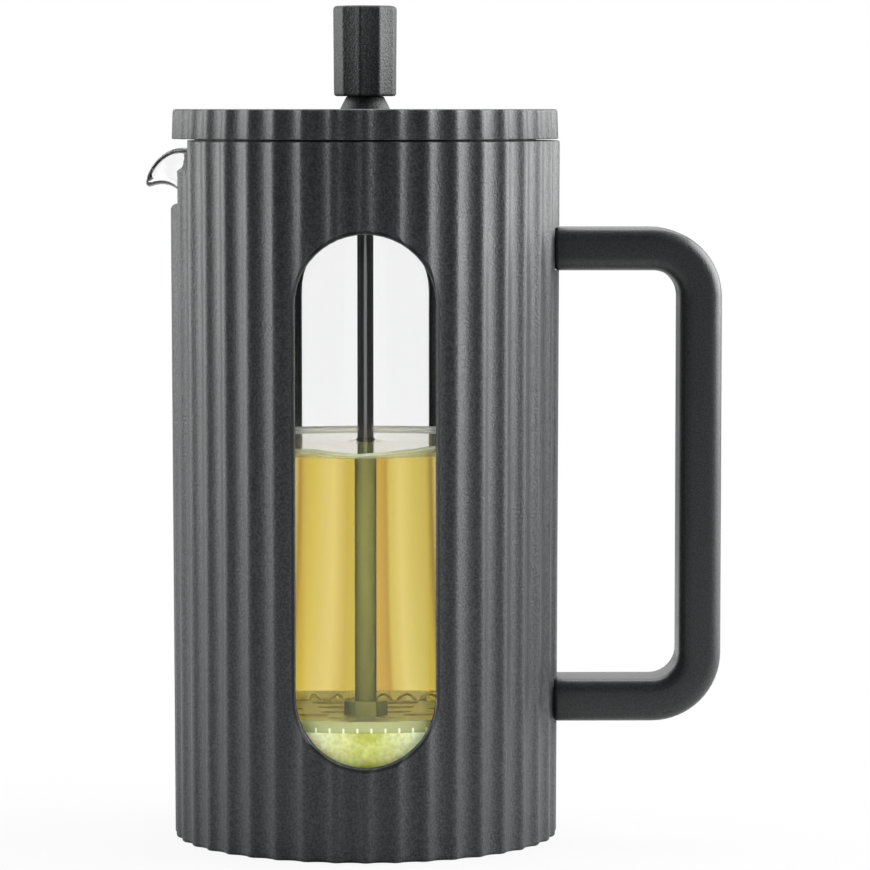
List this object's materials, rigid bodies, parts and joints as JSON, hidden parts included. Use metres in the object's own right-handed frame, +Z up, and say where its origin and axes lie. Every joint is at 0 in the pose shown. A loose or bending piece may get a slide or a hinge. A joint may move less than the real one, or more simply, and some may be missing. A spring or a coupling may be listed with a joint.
{
  "type": "french press",
  "caption": "French press with a fluted plastic casing, long windows, spouted glass beaker, loop handle and a knob-topped plunger with a mesh filter.",
  "frame": {"origin": "middle of the base, on the plunger's axis, at the surface that it stands on", "axes": "+Z up along the plunger, +X from the middle towards the handle, -X towards the spout, -Y the front with the long window"},
  "size_m": [0.1625, 0.11, 0.235],
  "materials": {
    "casing_plastic": "charcoal, fine-grained satin moulded plastic",
    "handle_plastic": "dark charcoal, smooth matte moulded plastic",
    "insert_plastic": "dark grey matte moulded plastic",
    "bush_plastic": "ivory low-friction plastic",
    "silicone": "pale grey soft silicone",
    "beaker_glass": "clear borosilicate glass with a fire-polished rim",
    "polished_steel": "polished stainless steel",
    "mesh_steel": "fine woven stainless wire",
    "fastener_steel": "turned stainless steel",
    "insert_brass": "turned brass"
  },
  "bodies": {
    "vessel": {"casing": "casing_plastic", "base_cushion": "silicone", "handle": "handle_plastic", "upper_handle_screw": "fastener_steel", "lower_handle_screw": "fastener_steel"},
    "beaker": {"beaker": "beaker_glass"},
    "lid_seal": {"lid_seal": "silicone"},
    "lid": {"lid_cap": "casing_plastic", "lid_insert": "insert_plastic", "lid_collar": "handle_plastic", "collar_nut": "fastener_steel"},
    "guide_bush": {"guide_bush": "bush_plastic"},
    "plunger": {"knob": "handle_plastic", "knob_insert": "insert_brass", "plunger_rod": "polished_steel", "filter_nut": "fastener_steel", "spiral_plate": "polished_steel", "coil_spring": "polished_steel", "filter_mesh": "mesh_steel", "cross_plate": "polished_steel"}
  },
  "joints": [
    {"name": "beaker_lift", "type": "slide", "parent": "vessel", "child": "beaker", "axis": [0, 0, 1], "range_m": [0, 0.2]},
    {"name": "lid_lift", "type": "slide", "parent": "beaker", "child": "lid_seal", "axis": [0, 0, 1], "range_m": [0, 0.17]},
    {"name": "lid_turn", "type": "hinge", "parent": "lid_seal", "child": "lid", "pos_m": [0, 0, 0.195], "axis": [0, 0, 1], "continuous": true},
    {"name": "plunger_turn", "type": "hinge", "parent": "lid", "child": "guide_bush", "pos_m": [0, 0, 0.2], "axis": [0, 0, 1], "continuous": true},
    {"name": "plunger_slide", "type": "slide", "parent": "guide_bush", "child": "plunger", "axis": [0, 0, 1], "range_m": [0, 0.132]}
  ]
}
